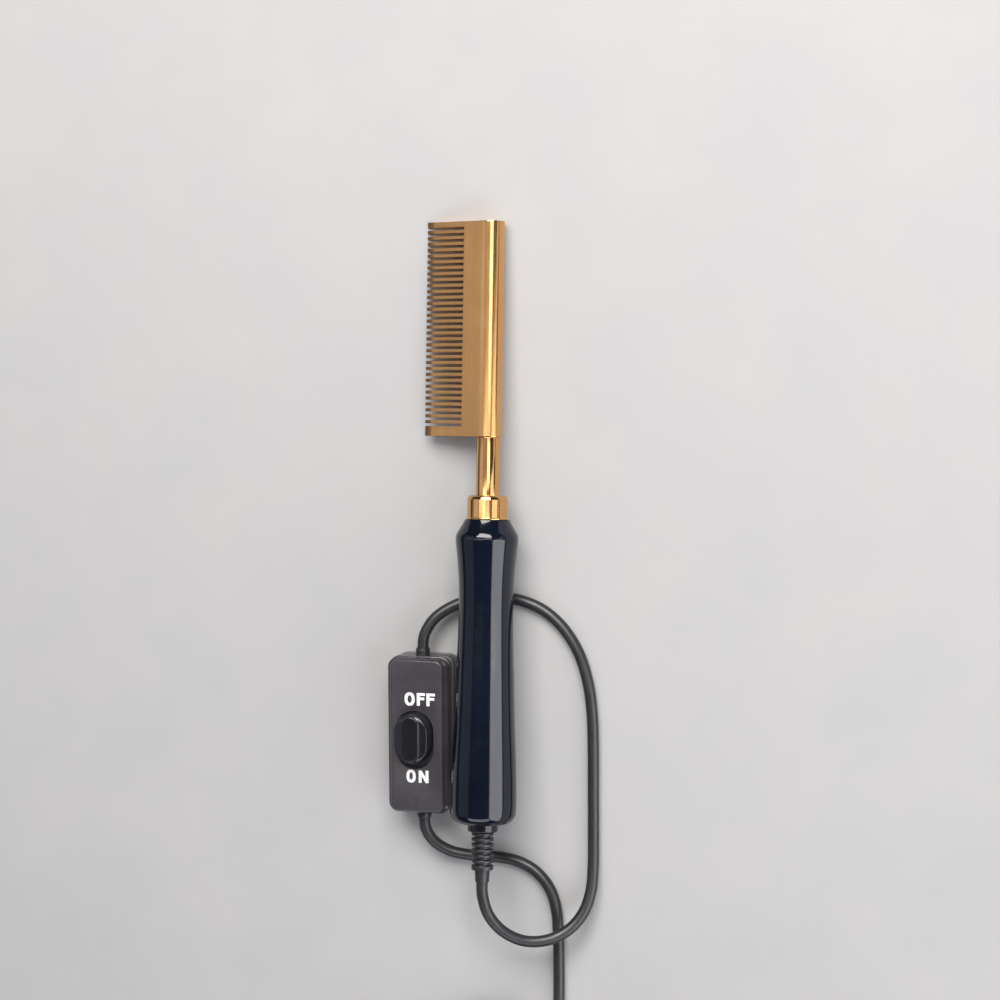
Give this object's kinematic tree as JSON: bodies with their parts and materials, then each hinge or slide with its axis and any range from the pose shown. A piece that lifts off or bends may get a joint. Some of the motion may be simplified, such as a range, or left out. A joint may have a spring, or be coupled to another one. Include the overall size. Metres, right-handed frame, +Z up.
{
  "type": "electric hot comb",
  "caption": "Electric pressing comb with a solid wedge-section heated comb head, bottle-shaped handle, lead with an inline slide switch, and a two-blade mains plug.",
  "frame": {"origin": "bottom centre of the comb's own box (blade, handle and strain relief, without the lead, switch and plug), on the surface it lies on", "axes": "+Y along the comb from the lead end to the blade end, +Z up, teeth towards -X"},
  "size_m": [0.0979, 0.4703, 0.036],
  "materials": {
    "gold_metal": "satin gold, brushed along the blade, polished spine",
    "gold_polished": "polished gold",
    "handle_black": "high gloss black",
    "cap_black": "gloss black",
    "relief_rubber": "satin black rubber",
    "cord_black": "satin black cord jacket",
    "switch_black": "fine textured black",
    "button_black": "semi gloss black",
    "white_print": "white pad print",
    "plug_black": "satin black moulded plug",
    "plug_brass": "plain brass",
    "contact_brass": "plain brass",
    "steel": "zinc plated",
    "ceramic": "white ceramic",
    "mica": "mica sheet",
    "wire_black": "black insulation",
    "wire_white": "white insulation",
    "inner_plastic": "natural nylon",
    "tie_black": "black tie"
  },
  "bodies": {
    "comb": {"comb_blade": "gold_metal", "heater_core": "ceramic", "heater_winding": "steel", "mica_sleeve": "mica", "heater_end_disc": "ceramic", "neck_tube": "gold_polished", "collar": "gold_polished", "ceramic_bush": "ceramic", "tube_washer": "steel", "tube_lock_nut": "steel", "line_lead": "wire_white", "neutral_lead": "wire_white", "thermal_fuse": "steel", "line_crimp": "contact_brass", "neutral_crimp": "contact_brass", "line_core": "wire_black", "neutral_core": "wire_white", "handle_shell": "handle_black", "rear_cap": "cap_black", "strain_relief": "relief_rubber", "cord_stop_ring": "steel", "cord_inner_end": "cord_black", "handle_cord": "cord_black", "switch_lower_case": "switch_black", "switch_upper_case": "switch_black", "line_contact_in": "contact_brass", "line_contact_out": "contact_brass", "switch_wire_in": "wire_black", "switch_wire_out": "wire_black", "neutral_wire": "wire_white", "switch_cord_ends": "cord_black", "cord_clamp_bars": "steel", "clamp_screws": "steel", "case_screws": "steel", "switch_grommets": "relief_rubber", "mains_lead": "cord_black", "cord_hank": "cord_black", "cord_tie": "tie_black", "plug_lead": "cord_black", "plug_body": "plug_black", "plug_insert": "inner_plastic", "plug_blade_wide": "plug_brass", "plug_blade_narrow": "plug_brass"},
    "switch_slider": {"slide_button": "button_black", "slide_carrier": "inner_plastic", "contact_bridge": "contact_brass", "contact_spring": "steel"}
  },
  "joints": [
    {"name": "switch_slide", "type": "slide", "parent": "comb", "child": "switch_slider", "axis": [0, -1, 0], "range_m": [0, 0.0022]}
  ]
}
